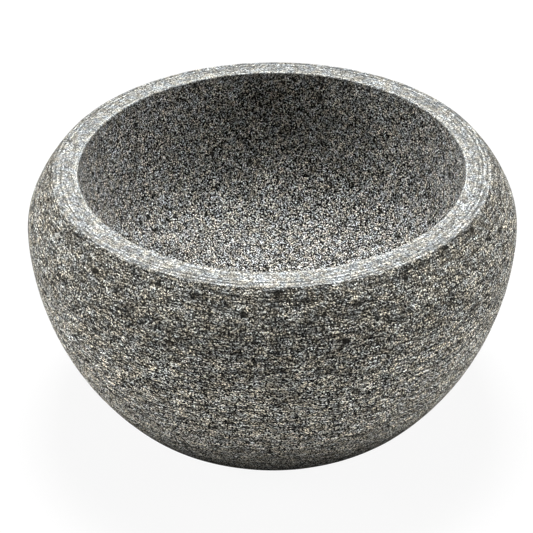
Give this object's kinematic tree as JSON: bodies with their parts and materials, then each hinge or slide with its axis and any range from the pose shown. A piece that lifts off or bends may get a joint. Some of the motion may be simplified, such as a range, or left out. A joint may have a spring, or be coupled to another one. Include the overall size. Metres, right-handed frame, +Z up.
{
  "type": "molcajete",
  "caption": "Round granite molcajete: a legless mortar bowl with a flat ground rim, a full belly turning under to a flat base, and a deep rounded cavity.",
  "frame": {"origin": "centre of the flat base, on the surface that the bowl stands on", "axes": "+Z up along the axis that the bowl was turned about; X and Y are free, because the bowl is round"},
  "size_m": [0.2032, 0.2032, 0.112],
  "materials": {
    "granite": "fine-grained salt-and-pepper grey granite, matt, with fine turning marks outside and a smoother, paler ground rim"
  },
  "bodies": {
    "root": {"molcajete_bowl": "granite"}
  },
  "joints": []
}
